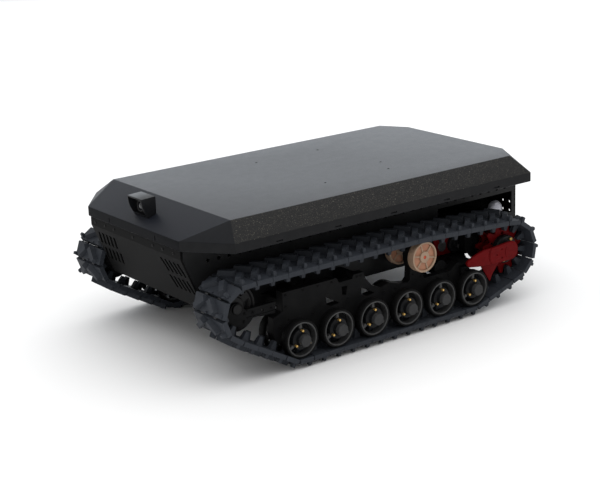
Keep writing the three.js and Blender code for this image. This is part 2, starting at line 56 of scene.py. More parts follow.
def surf(name, c0, c1, rough=(0.4, 0.6), metal=0.0, scale=60.0, bump=0.15, bump_scale=900.0, bump_dist=0.0004,
         worn_edge_highlight=None, worn_edge_highlight_amt=0.5, dust=None, dust_amt=0.25, coat=0.0, spec=0.5, voronoi=False, ior=1.5):
    """Two tone colour broken up by noise, grain bump, lighter edges that are partly wear and partly painted highlight,
    and patches of dust.
    """
    m, nt, b = new_mat(name)
    N, L = nt.nodes, nt.links
    tc = N.new("ShaderNodeTexCoord")
    n1 = N.new("ShaderNodeTexNoise"); n1.inputs["Scale"].default_value = scale; n1.inputs["Detail"].default_value = 6; n1.inputs["Roughness"].default_value = 0.6
    L.new(tc.outputs["Object"], n1.inputs["Vector"])
    mix = N.new("ShaderNodeMix"); mix.data_type = "RGBA"
    mix.inputs[6].default_value = (*c0, 1); mix.inputs[7].default_value = (*c1, 1)
    r0 = N.new("ShaderNodeMapRange"); r0.inputs[1].default_value = 0.35; r0.inputs[2].default_value = 0.65
    L.new(n1.outputs["Fac"], r0.inputs[0]); L.new(r0.outputs[0], mix.inputs[0])
    col = mix.outputs[2]
    geo = N.new("ShaderNodeNewGeometry")
    if dust:
        n3 = N.new("ShaderNodeTexNoise"); n3.inputs["Scale"].default_value = 14; n3.inputs["Detail"].default_value = 5
        L.new(tc.outputs["Object"], n3.inputs["Vector"])
        rr = N.new("ShaderNodeMapRange"); rr.inputs[1].default_value = 0.45; rr.inputs[2].default_value = 0.75; rr.inputs[4].default_value = dust_amt
        L.new(n3.outputs["Fac"], rr.inputs[0])
        mx = N.new("ShaderNodeMix"); mx.data_type = "RGBA"; mx.inputs[7].default_value = (*dust, 1)
        L.new(rr.outputs[0], mx.inputs[0]); L.new(col, mx.inputs[6]); col = mx.outputs[2]
    # Lighter colour on convex edges, found by pointiness and broken by noise: partly wear, partly painted highlight.
    if worn_edge_highlight:
        pr = N.new("ShaderNodeMapRange"); pr.inputs[1].default_value = 0.51; pr.inputs[2].default_value = 0.58; pr.inputs[4].default_value = worn_edge_highlight_amt
        L.new(geo.outputs["Pointiness"], pr.inputs[0])
        n4 = N.new("ShaderNodeTexNoise"); n4.inputs["Scale"].default_value = 45; n4.inputs["Detail"].default_value = 4
        L.new(tc.outputs["Object"], n4.inputs["Vector"])
        mu = N.new("ShaderNodeMath"); mu.operation = "MULTIPLY"
        L.new(pr.outputs[0], mu.inputs[0]); L.new(n4.outputs["Fac"], mu.inputs[1])
        mx = N.new("ShaderNodeMix"); mx.data_type = "RGBA"; mx.inputs[7].default_value = (*worn_edge_highlight, 1)
        L.new(mu.outputs[0], mx.inputs[0]); L.new(col, mx.inputs[6]); col = mx.outputs[2]
    L.new(col, b.inputs["Base Color"])
    r1 = N.new("ShaderNodeMapRange"); r1.inputs[3].default_value = rough[0]; r1.inputs[4].default_value = rough[1]
    L.new(n1.outputs["Fac"], r1.inputs[0]); L.new(r1.outputs[0], b.inputs["Roughness"])
    if voronoi:
        n2 = N.new("ShaderNodeTexVoronoi"); n2.inputs["Scale"].default_value = bump_scale; out = n2.outputs["Distance"]
    else:
        n2 = N.new("ShaderNodeTexNoise"); n2.inputs["Scale"].default_value = bump_scale; n2.inputs["Detail"].default_value = 3; out = n2.outputs["Fac"]
    L.new(tc.outputs["Object"], n2.inputs["Vector"])
    bp = N.new("ShaderNodeBump"); bp.inputs["Strength"].default_value = bump; bp.inputs["Distance"].default_value = bump_dist
    L.new(out, bp.inputs["Height"]); L.new(bp.outputs["Normal"], b.inputs["Normal"])
    b.inputs["Metallic"].default_value = metal
    b.inputs["Coat Weight"].default_value = coat
    b.inputs["Specular IOR Level"].default_value = spec
    b.inputs["IOR"].default_value = ior
    return m


def speckle(m, col, scale):
    """Sparse bright grains over the base colour."""
    nt = m.node_tree; N, L = nt.nodes, nt.links
    b = nt.nodes["Principled BSDF"]
    src = b.inputs["Base Color"].links[0].from_socket
    tc = N.new("ShaderNodeTexCoord")
    v = N.new("ShaderNodeTexNoise"); v.inputs["Scale"].default_value = scale; v.inputs["Detail"].default_value = 2; v.inputs["Roughness"].default_value = 0.7
    L.new(tc.outputs["Object"], v.inputs["Vector"])
    r = N.new("ShaderNodeMapRange"); r.inputs[1].default_value = 0.60; r.inputs[2].default_value = 0.74
    L.new(v.outputs["Fac"], r.inputs[0])
    mx = N.new("ShaderNodeMix"); mx.data_type = "RGBA"; mx.inputs[7].default_value = (*col, 1)
    L.new(r.outputs[0], mx.inputs[0]); L.new(src, mx.inputs[6]); L.new(mx.outputs[2], b.inputs["Base Color"])


M = {}
M["cover"] = surf("cover_paint", (0.0135, 0.0148, 0.0195), (0.0165, 0.0180, 0.0225), rough=(0.40, 0.50), scale=25, bump=0.3, bump_scale=420, bump_dist=0.0006, spec=0.34, voronoi=True)
# darker, less shiny copy of the cover paint for the front and rear slopes: painted shade
M["front"] = surf("end_slope_painted_shade", (0.0082, 0.0097, 0.0142), (0.0102, 0.0117, 0.0164), rough=(0.42, 0.52), scale=25, bump=0.3, bump_scale=420, bump_dist=0.0006, spec=0.13, voronoi=True)
M["grit"] = surf("cover_grit", (0.0095, 0.0095, 0.0098), (0.012, 0.012, 0.0123), rough=(0.5, 0.62), scale=30, bump=0.6, bump_scale=520, bump_dist=0.0009, spec=0.14, voronoi=True)
speckle(M["grit"], (0.145, 0.134, 0.108), 235)
# darker copy of the cover paint for the corner facets: painted shade standing in for the darker reflection there
M["facet"] = surf("corner_facet_painted_shade", (0.0062, 0.0068, 0.0085), (0.008, 0.0086, 0.0105), rough=(0.42, 0.52), scale=25, bump=0.2, bump_scale=420, bump_dist=0.0006, spec=0.1, voronoi=True)
# darker, less shiny copy of the cover paint for the vertical skirt faces: painted shade
M["skirt"] = surf("side_skirt_painted_shade", (0.0115, 0.0118, 0.0128), (0.0145, 0.0148, 0.0158), rough=(0.46, 0.58), scale=25, bump=0.2, bump_scale=420, bump_dist=0.0005, spec=0.08, voronoi=True)
M["hull"] = surf("hull_gloss", (0.011, 0.0113, 0.012), (0.015, 0.0153, 0.016), rough=(0.3, 0.42), scale=8, bump=0.05, bump_scale=60, bump_dist=0.0006, spec=0.12)
M["panel"] = surf("panel_paint", (0.0058, 0.0058, 0.0059), (0.0074, 0.0074, 0.0075), rough=(0.48, 0.6), scale=18, bump=0.12, bump_scale=900, spec=0.03)
# darkest copy of the cover paint for the skirt faces at the front and rear ends: painted shade
M["skirt_front"] = surf("end_skirt_painted_shade", (0.0042, 0.0046, 0.0058), (0.0058, 0.0062, 0.0075), rough=(0.46, 0.58), scale=25, bump=0.2, bump_scale=420, bump_dist=0.0005, spec=0.04, voronoi=True)
M["rail"] = surf("rail_paint", (0.012, 0.012, 0.013), (0.016, 0.016, 0.017), rough=(0.4, 0.5), scale=30, bump=0.1, spec=0.15)
M["frame"] = surf("frame_paint", (0.0055, 0.0056, 0.006), (0.0085, 0.0086, 0.009), rough=(0.42, 0.58), scale=22, bump=0.15, bump_scale=700, dust=(0.02, 0.019, 0.017), dust_amt=0.12, spec=0.06)
# The lighter edge colour on the rubber, tyre, rim, cap, roller and black plastic below lightens convex edges: partly
# wear, partly painted highlight.
M["rubber"] = surf("track_rubber", (0.0155, 0.0185, 0.0245), (0.0215, 0.0248, 0.031), rough=(0.52, 0.7), scale=70, bump=0.3, bump_scale=1100, bump_dist=0.0004, worn_edge_highlight=(0.04, 0.045, 0.055), worn_edge_highlight_amt=0.5,
                   dust=(0.03, 0.03, 0.03), dust_amt=0.1, spec=0.2)
M["pin"] = surf("steel_pin", (0.03, 0.03, 0.032), (0.05, 0.05, 0.052), rough=(0.3, 0.42), metal=0.6, scale=200, bump=0.05)
M["tyre"] = surf("tyre_rubber", (0.0028, 0.0028, 0.003), (0.0044, 0.0044, 0.0046), rough=(0.45, 0.62), scale=90, bump=0.22, bump_scale=1300, worn_edge_highlight=(0.008, 0.008, 0.008), worn_edge_highlight_amt=0.2, dust=(0.015, 0.0145, 0.013), dust_amt=0.1, spec=0.08)
M["rim"] = surf("rim_grey", (0.026, 0.0265, 0.027), (0.036, 0.0365, 0.037), rough=(0.38, 0.52), metal=0.0, scale=120, bump=0.08, worn_edge_highlight=(0.11, 0.11, 0.11), worn_edge_highlight_amt=0.4, spec=0.3)
M["hub"] = surf("hub_dark", (0.0045, 0.0048, 0.0056), (0.007, 0.0073, 0.0082), rough=(0.34, 0.46), scale=120, bump=0.08, spec=0.14)
M["cap"] = surf("cap_grey", (0.019, 0.0194, 0.0205), (0.025, 0.0254, 0.0265), rough=(0.45, 0.56), scale=150, bump=0.06, worn_edge_highlight=(0.06, 0.06, 0.06), spec=0.2)
M["brass"] = surf("brass", (0.52, 0.32, 0.09), (0.64, 0.41, 0.13), rough=(0.26, 0.4), metal=0.8, scale=300, bump=0.05)
M["roller"] = surf("roller_cream", (0.27, 0.18, 0.12), (0.32, 0.215, 0.147), rough=(0.45, 0.58), scale=40, bump=0.06, bump_scale=500, worn_edge_highlight=(0.42, 0.31, 0.22), worn_edge_highlight_amt=0.3, dust=(0.22, 0.15, 0.10), dust_amt=0.15, spec=0.25)
M["pocket"] = surf("roller_pocket", (0.33, 0.155, 0.093), (0.38, 0.185, 0.113), rough=(0.48, 0.62), scale=40, bump=0.06, bump_scale=500, spec=0.2)
M["dot"] = surf("roller_pin", (0.40, 0.05, 0.02), (0.47, 0.07, 0.03), rough=(0.4, 0.5), scale=60, bump=0.05, spec=0.2)
M["red"] = surf("drive_red", (0.093, 0.0022, 0.003), (0.115, 0.0035, 0.0044), rough=(0.4, 0.52), scale=45, bump=0.1, bump_scale=600, spec=0.04)
M["teal"] = surf("hub_teal", (0.002, 0.020, 0.019), (0.003, 0.028, 0.027), rough=(0.34, 0.46), scale=60, bump=0.06, spec=0.2)
M["silver"] = surf("motor_silver", (0.40, 0.40, 0.45), (0.48, 0.48, 0.53), rough=(0.32, 0.44), metal=0.35, scale=200, bump=0.04)
M["black"] = surf("black_plastic", (0.005, 0.005, 0.0055), (0.008, 0.008, 0.0085), rough=(0.38, 0.52), scale=60, bump=0.1, worn_edge_highlight=(0.025, 0.025, 0.025), spec=0.15)
M["camera"] = surf("camera_shell", (0.006, 0.0064, 0.0078), (0.009, 0.0094, 0.0108), rough=(0.34, 0.46), scale=60, bump=0.08, spec=0.22)
M["green"] = surf("battery_case", (0.012, 0.03, 0.02), (0.018, 0.04, 0.028), rough=(0.45, 0.6), scale=30, bump=0.1, spec=0.25)
M["alu"] = surf("controller_case", (0.30, 0.30, 0.31), (0.37, 0.37, 0.38), rough=(0.34, 0.46), metal=0.7, scale=160, bump=0.06)
M["wood"] = surf("rod_brown", (0.05, 0.022, 0.010), (0.07, 0.032, 0.015), rough=(0.4, 0.55), scale=80, bump=0.1, spec=0.2)
glass, nt, b = new_mat("lens_glass")
n = nt.nodes.new("ShaderNodeTexNoise"); n.inputs["Scale"].default_value = 30
r = nt.nodes.new("ShaderNodeMapRange"); r.inputs[3].default_value = 0.04; r.inputs[4].default_value = 0.09
nt.links.new(n.outputs["Fac"], r.inputs[0]); nt.links.new(r.outputs[0], b.inputs["Roughness"])
b.inputs["Base Color"].default_value = (0.004, 0.005, 0.008, 1); b.inputs["Coat Weight"].default_value = 0.2
M["lens"] = glass


# ------------------------------------------------------------------ mesh helpers
def put(name, mesh, mats, body, replaces=(), angle=32, smooth=True):
    obj = bpy.data.objects.new(name, mesh)
    bpy.context.scene.collection.objects.link(obj)
    mats = mats if isinstance(mats, (list, tuple)) else [mats]
    if not mesh.materials:
        for m in mats:
            mesh.materials.append(M[m])
    if smooth and angle is not None:
        for p in mesh.polygons:
            p.use_smooth = True
        mesh.set_sharp_from_angle(angle=math.radians(angle))
    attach(obj, body)
    if replaces:
        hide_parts(*replaces)
    return obj


def bevel_mesh(me, width, seg=2, angle=30):
    bm = bmesh.new(); bm.from_mesh(me)
    bmesh.ops.remove_doubles(bm, verts=bm.verts, dist=1e-6)
    es = [e for e in bm.edges if len(e.link_faces) == 2 and e.calc_face_angle(0) > math.radians(angle)]
    bmesh.ops.bevel(bm, geom=es, offset=width * MM, segments=seg, profile=0.6, affect="EDGES", clamp_overlap=True)
    bmesh.ops.recalc_face_normals(bm, faces=bm.faces)
    bm.to_mesh(me); bm.free()
    return me


def mesh_from(bm, name):
    me = bpy.data.meshes.new(name)
    bmesh.ops.recalc_face_normals(bm, faces=bm.faces)
    bm.to_mesh(me); bm.free()
    return me


def curve_plate(name, outline, y0, y1, holes=(), bevel=1.0, seg=2, axis="y"):
    """A flat plate with rounded edges: outline and holes are drawing coordinates, extruded between two values of the axis."""
    cu = bpy.data.curves.new(name + "_c", "CURVE")
    cu.dimensions = "2D"; cu.fill_mode = "BOTH"
    for loop in [outline, *holes]:
        sp = cu.splines.new("POLY"); sp.points.add(len(loop) - 1)
        for p, q in zip(sp.points, loop):
            p.co = (q[0] * MM, q[1] * MM, 0, 1)
        sp.use_cyclic_u = True
    h = abs(y1 - y0) / 2
    cu.extrude = max(0.0, h - bevel) * MM
    cu.bevel_depth = bevel * MM; cu.bevel_resolution = seg - 1; cu.offset = -bevel * MM
    ob = bpy.data.objects.new(name + "_c", cu)
    bpy.context.scene.collection.objects.link(ob)
    dg = bpy.context.evaluated_depsgraph_get()
    me = bpy.data.meshes.new_from_object(ob.evaluated_get(dg), depsgraph=dg)
    bpy.data.objects.remove(ob); bpy.data.curves.remove(cu)
    mid = (y0 + y1) / 2
    if axis == "y":       # local (x, y, z) -> vehicle (x, -z, y)
        me.transform(Matrix(((1, 0, 0, SX * MM), (0, 0, -1, mid * MM), (0, 1, 0, -GZ * MM), (0, 0, 0, 1))))
    elif axis == "z":
        me.transform(Matrix.Translation((SX * MM, 0, (mid - GZ) * MM)))
    elif axis == "x":     # local (x, y, z) -> vehicle (z, x, y): the outline is (y, z)
        me.transform(Matrix(((0, 0, 1, (mid + SX) * MM), (1, 0, 0, 0), (0, 1, 0, -GZ * MM), (0, 0, 0, 1))))
    me.name = name
    me.materials.clear()
    bm = bmesh.new(); bm.from_mesh(me)
    bmesh.ops.remove_doubles(bm, verts=bm.verts, dist=1e-6)
    bmesh.ops.recalc_face_normals(bm, faces=bm.faces)
    bm.to_mesh(me); bm.free()
    return me


def turned(name, prof, cx, cz, n=48, closed=False):
    """A turned piece about a Y axis through (cx, cz); prof is [(radius, y)]."""
    bm = bmesh.new()
    rings = []
    for r, y in prof:
        if r < 1e-6:
            rings.append([bm.verts.new(P(cx, y, cz))])
        else:
            rings.append([bm.verts.new(P(cx + r * math.cos(2 * math.pi * i / n), y, cz + r * math.sin(2 * math.pi * i / n))) for i in range(n)])
    pairs = list(zip(rings, rings[1:]))
    if closed:
        pairs.append((rings[-1], rings[0]))
    for a, c in pairs:
        if len(a) == 1 and len(c) == 1:
            continue
        for i in range(n):
            j = (i + 1) % n
            if len(a) == 1:
                bm.faces.new((a[0], c[i], c[j]))
            elif len(c) == 1:
                bm.faces.new((a[i], a[j], c[0]))
            else:
                bm.faces.new((a[i], a[j], c[j], c[i]))
    return mesh_from(bm, name)


def boxes(name, items, bevel=1.0, seg=2):
    """Boxes in drawing coordinates, each with rounded edges: (x0, x1, y0, y1, z0, z1)."""
    bm = bmesh.new()
    for x0, x1, y0, y1, z0, z1 in items:
        vs = [bm.verts.new(P(x, y, z)) for x in (x0, x1) for y in (y0, y1) for z in (z0, z1)]
        for f in ((0, 1, 3, 2), (4, 6, 7, 5), (0, 4, 5, 1), (2, 3, 7, 6), (0, 2, 6, 4), (1, 5, 7, 3)):
            bm.faces.new([vs[i] for i in f])
    if bevel:
        bmesh.ops.bevel(bm, geom=list(bm.edges), offset=bevel * MM, segments=seg, profile=0.6, affect="EDGES", clamp_overlap=True)
    return mesh_from(bm, name)


def merge(name, meshes, mats=None):
    """Joins meshes; mats gives the material index of each one."""
    bm = bmesh.new()
    for k, me in enumerate(meshes):
        start = len(bm.faces)
        bm.from_mesh(me)
        bm.faces.ensure_lookup_table()
        if mats:
            for f in bm.faces[start:]:
                f.material_index = mats[k]
    me = bpy.data.meshes.new(name)
    bm.to_mesh(me); bm.free()
    for m in meshes:
        bpy.data.meshes.remove(m)
    return me


def screw(cx, cy, cz, r, h, axis, n=16, socket=True):
    """A socket head screw whose head stands h out along axis from (cx, cy, cz)."""
    bm = bmesh.new()
    a = Vector(axis).normalized()
    up = Vector((0, 0, 1)) if abs(a.z) < 0.9 else Vector((1, 0, 0))
    u = a.cross(up).normalized(); v = a.cross(u)
    c = P(cx, cy, cz)
    prof = [(r, 0), (r, h - 0.6), (r - 0.6, h), (r * 0.5, h)] + ([(r * 0.5, h * 0.45), (0, h * 0.45)] if socket else [(0, h)])
    rings = []
    for rr, d in prof:
        m = n
        if rr == 0:
            rings.append([bm.verts.new(c + a * d * MM)])
        else:
            rings.append([bm.verts.new(c + a * d * MM + (u * math.cos(2 * math.pi * i / m) + v * math.sin(2 * math.pi * i / m)) * rr * MM) for i in range(m)])
    bm.faces.new(rings[0])
    for p, q in zip(rings, rings[1:]):
        for i in range(n):
            j = (i + 1) % n
            if len(q) == 1:
                bm.faces.new((p[i], p[j], q[0]))
            else:
                bm.faces.new((p[i], p[j], q[j], q[i]))
    return mesh_from(bm, "screw")


def circle(x, z, r, n=24, ph=0.0):
    return [(x + r * math.cos(ph + 2 * math.pi * i / n), z + r * math.sin(ph + 2 * math.pi * i / n)) for i in range(n)]


def side_y(s, a, b):
    return (a, b) if s > 0 else (-b, -a)


def cut(obj_me, cutters):
    """Exact boolean difference, applied."""
    ob = bpy.data.objects.new("tmp_a", obj_me); bpy.context.scene.collection.objects.link(ob)
    cu = merge("cutters", cutters)
    co = bpy.data.objects.new("tmp_b", cu); bpy.context.scene.collection.objects.link(co)
    md = ob.modifiers.new("b", "BOOLEAN"); md.operation = "DIFFERENCE"; md.object = co; md.solver = "EXACT"
    dg = bpy.context.evaluated_depsgraph_get()
    out = bpy.data.meshes.new_from_object(ob.evaluated_get(dg), depsgraph=dg)
    bpy.data.objects.remove(ob); bpy.data.objects.remove(co)
    out.materials.clear()
    return out


# ------------------------------------------------------------------ track path (same walk as the CAD chain)
LINKS, BOTTOM, TEETH = 49, 13, 11
MIDB = 130 - 75 - 9 - 0.3
PITCH = 2 * 123.72 * math.sin(math.pi / TEETH)
CF = (455.9, MIDB); CR = (455.9 - BOTTOM * PITCH, MIDB)
IDLER = (674.963475338227, 288.0); SPR = (-652.0, 243.0); ROL = (-174.0, 319.0)


def tangent_point(p, c, r, sign):
    dx, dz = c[0] - p[0], c[1] - p[1]
    d = math.hypot(dx, dz); a = math.atan2(dz, dx); b_ = math.asin(r / d)
    L = math.sqrt(d * d - r * r); t = a + sign * b_
    return (p[0] + L * math.cos(t), p[1] + L * math.sin(t))


def outer_tangent(c1, r1, c2, r2):
    dx, dz = c2[0] - c1[0], c2[1] - c1[1]
    d = math.hypot(dx, dz); t = math.atan2(dz, dx) + math.acos((r1 - r2) / d)
    return (c1[0] + r1 * math.cos(t), c1[1] + r1 * math.sin(t)), (c2[0] + r2 * math.cos(t), c2[1] + r2 * math.sin(t))


def chain_path():
    pts = [CR]
    rl = (ROL[0], ROL[1] + 1.2); rr = 62 + 9 + 0.4

    def arc(c, r, f, t):
        a0 = math.atan2(f[1] - c[1], f[0] - c[0]); a1 = math.atan2(t[1] - c[1], t[0] - c[0])
        while a1 > a0:
            a1 -= 2 * math.pi
        n = max(2, math.ceil((a0 - a1) * r / 0.5))
        for i in range(n + 1):
            a = a0 + (a1 - a0) * i / n
            pts.append((c[0] + r * math.cos(a), c[1] + r * math.sin(a)))
    t1 = tangent_point(CR, SPR, 123.72, 1)
    a1, a2 = outer_tangent(SPR, 123.72, rl, rr)
    b1, b2 = outer_tangent(rl, rr, IDLER, 106)
    arc(SPR, 123.72, t1, a1); arc(rl, rr, a2, b1)
    t2 = tangent_point(CF, IDLER, 106, -1)
    arc(IDLER, 106, b2, t2)
    pts.append(CF)
    return pts


def chain():
    pts = chain_path(); out = [pts[0]]; p = pts[0]; k = 0
    for _ in range(LINKS - BOTTOM - 1):
        i = k
        while i < len(pts) - 1:
            q = pts[i + 1]
            if math.hypot(q[0] - p[0], q[1] - p[1]) >= PITCH:
                a = p if i == k else pts[i]
                lo, hi = 0.0, 1.0
                for _j in range(50):
                    m = (lo + hi) / 2
                    c = (a[0] + (q[0] - a[0]) * m, a[1] + (q[1] - a[1]) * m)
                    if math.hypot(c[0] - p[0], c[1] - p[1]) < PITCH:
                        lo = m
                    else:
                        hi = m
                p = (a[0] + (q[0] - a[0]) * hi, a[1] + (q[1] - a[1]) * hi); k = i
                break
            i += 1
        out.append(p)
    out.append(CF)
    for i in range(1, BOTTOM):
        out.append((CF[0] - i * PITCH, MIDB))
    return out


NODES = chain()


# ------------------------------------------------------------------ one track link, in link coordinates (u along the run, w across, v outward)
def prism(bm, base, top, v0, v1):
    """A tapered block from polygon base at v0 to polygon top at v1; points are (u, w)."""
    lo = [bm.verts.new((p[0], p[1], v0)) for p in base]
    hi = [bm.verts.new((p[0], p[1], v1)) for p in top]
    n = len(lo)
    bm.faces.new(lo[::-1]); bm.faces.new(hi)
    for i in range(n):
        bm.faces.new((lo[i], lo[(i + 1) % n], hi[(i + 1) % n], hi[i]))


def link_mesh(g, soft):
    bm = bmesh.new()
    W = 195.0
    # tread plate: its corners are cut back a little on the outer side
    prism(bm, [(g, 0), (PITCH - g, 0), (PITCH - g, W), (g, W)], [(g + 0.6, 1.0), (PITCH - g - 0.6, 1.0), (PITCH - g - 0.6, W - 1.0), (g + 0.6, W - 1.0)], -9, 9)
    # two slanted lugs
    def lug(a, b, wa, wb, ta, tb, h, cut_a, cut_b):
        ax, ay = a; bx_, by = b
        d = Vector((bx_ - ax, by - ay)); d.normalize(); nn = Vector((-d.y, d.x))
        A, B = Vector(a), Vector(b)
        base = [A - nn * wa, B - nn * wb, B + nn * wb, A + nn * wa]
        top = [A + d * cut_a - nn * ta, B - d * cut_b - nn * tb, B - d * cut_b + nn * tb, A + d * cut_a + nn * ta]
        if (base[1] - base[0]).cross(base[2] - base[1]) < 0:
            base.reverse(); top.reverse()
        prism(bm, [tuple(p) for p in base], [tuple(p) for p in top], 8.6, 9 + h)
    # w runs from the vehicle side (0) to the outside (195)
    lug((12, 106), (55, 152), 15, 13, 11, 9.5, 20, 2, 4)
    lug((12, 80), (57, 24), 15, 15, 10.5, 10, 20, 2, 5)
    # low peg near the outer edge
    prism(bm, [(47, 170), (63, 170), (63, 188), (47, 188)], [(49.5, 172), (60.5, 172), (60.5, 186), (49.5, 186)], 8.6, 27)
    # small centre tab over the joint
    prism(bm, [(PITCH - 11, 84), (PITCH - 2, 84), (PITCH - 2, 96), (PITCH - 11, 96)], [(PITCH - 10, 86), (PITCH - 3, 86), (PITCH - 3, 94), (PITCH - 10, 94)], 8.6, 15)
    # guide horns
    for w0, w1 in ((125, 146), (49, 70)):
        c = PITCH / 2
        prism(bm, [(c - 7, w0 + 3), (c + 7, w0 + 3), (c + 7, w1 - 3), (c - 7, w1 - 3)], [(c - 14, w0), (c + 14, w0), (c + 14, w1), (c - 14, w1)], -9 - 34, -8.6)
    es = [e for e in bm.edges if len(e.link_faces) == 2 and e.calc_face_angle(0) > math.radians(20)]
    bmesh.ops.bevel(bm, geom=es, offset=soft, segments=2, profile=0.6, affect="EDGES", clamp_overlap=True)
    return bm


def bend(i):
    """Turn of the chain at node i, in degrees."""
    n = len(NODES)
    a, b_, c = NODES[i - 1], NODES[i], NODES[(i + 1) % n]
    t = math.atan2(c[1] - b_[1], c[0] - b_[0]) - math.atan2(b_[1] - a[1], b_[0] - a[0])
    return abs(math.degrees(math.atan2(math.sin(t), math.cos(t))))


def track_mesh(side):
    kinds = []
    for g, soft in ((0.5, 0.8), (3.3, 1.0)):
        src = link_mesh(g, soft)
        k = bpy.data.meshes.new("link"); src.to_mesh(k); src.free()
        kinds.append(k)
    bm = bmesh.new()
    n = len(NODES)
    for i in range(n):
        a, c = NODES[i], NODES[(i + 1) % n]
        l = math.hypot(c[0] - a[0], c[1] - a[1]); t = ((c[0] - a[0]) / l, (c[1] - a[1]) / l)
        m = (-t[1], t[0])
        # (u, w, v) -> vehicle
        yb, ys = (345, 1) if side > 0 else (-345, -1)
        mat = Matrix(((t[0] * MM, 0, m[0] * MM, (a[0] + SX) * MM), (0, ys * MM, 0, yb * MM), (t[1] * MM, 0, m[1] * MM, (a[1] - GZ) * MM), (0, 0, 0, 1)))
        tmp = kinds[1 if max(bend(i), bend((i + 1) % n)) > 14 else 0].copy(); tmp.transform(mat)
        bm.from_mesh(tmp); bpy.data.meshes.remove(tmp)
    bmesh.ops.recalc_face_normals(bm, faces=bm.faces)
    me = bpy.data.meshes.new("track"); bm.to_mesh(me); bm.free()
    for k in kinds:
        bpy.data.meshes.remove(k)
    return me


def pins_mesh(side):
    """Hinge pins that join neighbouring links."""
    parts = []
    for i, p in enumerate(NODES):
        for lo, hi in (((394, 412), (476, 494)) if bend(i) > 14 else ((349, 533),)):
            y0, y1 = side_y(side, lo, hi)
            parts.append(turned("pin", [(0, y0), (4.2, y0), (4.2, y1), (0, y1)], p[0], p[1], n=10))
    return merge("pins", parts)


for s, tag in ((1, "left"), (-1, "right")):
    put(f"track_links_{tag}", track_mesh(s), "rubber", "chassis", replaces=(f"track_{tag}",), angle=25)
    put(f"track_pins_{tag}", pins_mesh(s), "pin", "chassis")

# ------------------------------------------------------------------ armoured cover
TOPZ, SKT, SKB = 611.8, 547.5, 509.4


def cover_points(t, ztop, zbot):
    k = t * 0.55; v = []
    for s in (1, -1):
        v += [(654.3 - k, s * (419.4 - k), ztop), (-742.3 + k, s * (419.4 - k), ztop), (-813.9 + k, s * (302.9 - k), ztop)]
        for z in (SKT - k * 0.4, zbot):
            v += [(824.4 - t, s * (332.7 - k), z), (693.7 - k, s * (500 - t), z), (-784 + k, s * (500 - t), z), (-872 + t, s * (333 - k), z)]
    return v


def hull_mesh(name, pts):
    bm = bmesh.new()
    for p in pts:
        bm.verts.new(P(*p))
    r = bmesh.ops.convex_hull(bm, input=bm.verts)
    bmesh.ops.dissolve_limit(bm, angle_limit=math.radians(1.5), verts=bm.verts, edges=bm.edges)
    return mesh_from(bm, name)


outer = hull_mesh("cover_outer", cover_points(0, TOPZ, SKB))
outer = bevel_mesh(outer, 2.2, 3, 8)
tools = [hull_mesh("cover_inner", cover_points(5, TOPZ - 5, SKB - 40))]
HOLES = [(79, 234), (-243, 235), (-294, 123.5), (79, -234), (-243, -235)]
for x, y in HOLES:
    me = turned("h", [(0, -30), (5, -30), (5, 30), (0, 30)], 0, 0, n=20)
    me.transform(Matrix.Translation(Vector((-SX * MM, 0, GZ * MM))))
    me.transform(Matrix.Rotation(math.pi / 2, 4, "X")); me.transform(Matrix.Translation(P(x, y, TOPZ)))
    tools.append(me)
for s in (1, -1):
    for x in (498, 226, -46.5, -319, -591):
        tools.append(boxes("t", [(x - 15, x + 15, s * 500 - 12, s * 500 + 12, 516.5, 522.5)], 0))
    tools.append(boxes("t", [(812, 836, s * 168 - 3, s * 168 + 3, 514, 534)], 0))
    tools.append(boxes("t", [(-884, -860, s * 168 - 3, s * 168 + 3, 514, 534)], 0))
cover = cut(outer, tools)
for m in ("cover", "grit", "facet", "skirt", "front", "skirt_front"):
    cover.materials.append(M[m])
# Faces get paint by the way they turn: grit coat on the side slopes; the corner facets, vertical skirt, end skirt faces
# and front and rear slopes get darker copies of the deck paint, which is painted shade
for p in cover.polygons:
    nx, ny, nz = p.normal
    if nz > 0.3 and abs(ny) > 0.45 and abs(nx) < 0.12:
        p.material_index = 1
    elif nz > 0.3 and abs(ny) > 0.3 and abs(nx) > 0.2:
        p.material_index = 2
    elif abs(nz) < 0.25:
        p.material_index = 5 if abs(nx) > 0.9 else 3
    elif abs(nx) > 0.2 and nz > 0.3:
        p.material_index = 4
    else:
        p.material_index = 0
put("cover_shell", cover, "cover", "cover", replaces=("top_cover",), angle=12)
# recessed bolts in the deck holes
bolts = []
for x, y in HOLES:
    bolts.append(screw(x, y, TOPZ - 4.6, 4.6, 3.0, (0, 0, 1)))
put("cover_bolts", merge("cover_bolts", bolts), "black", "cover")

# ------------------------------------------------------------------ camera
SLOPE = (TOPZ - SKT) / (824.4 - 654.3)
slope = lambda x: TOPZ - (x - 654.3) * SLOPE
prof = [(741, slope(741) + 0.2), (777, slope(777) + 0.2), (784, 577), (790, 587.5), (795.5, 598.5), (799.8, 610), (802.8, 622), (804.4, 634), (804.6, 641), (802.4, 643.8), (743, 646.5), (741, 644)]
hood = curve_plate("camera_hood", prof, -51, 51, bevel=1.6, seg=3)
hood = cut(hood, [boxes("c", [(766, 830, -47, 47, 577, 639.5)], 0)])
put("camera_hood", hood, "camera", "cover", replaces=("camera_housing",), angle=25)
bez = boxes("bezel", [(765.5, 773, -30, 30, 579, 633), (765.5, 769, -45, -36, 582, 634), (765.5, 769, 36, 45, 582, 634)], 1.2)
put("camera_bezel", bez, "black", "cover")
def ring_x(name, prof, cy, cz, n=32):
    me = turned(name, prof, 0, 0, n)
    me.transform(Matrix.Translation(Vector((-SX * MM, 0, GZ * MM))))
    me.transform(Matrix.Rotation(-math.pi / 2, 4, "Z"))
    me.transform(Matrix.Translation(Vector((SX * MM, cy * MM, (cz - GZ) * MM))))
    return me
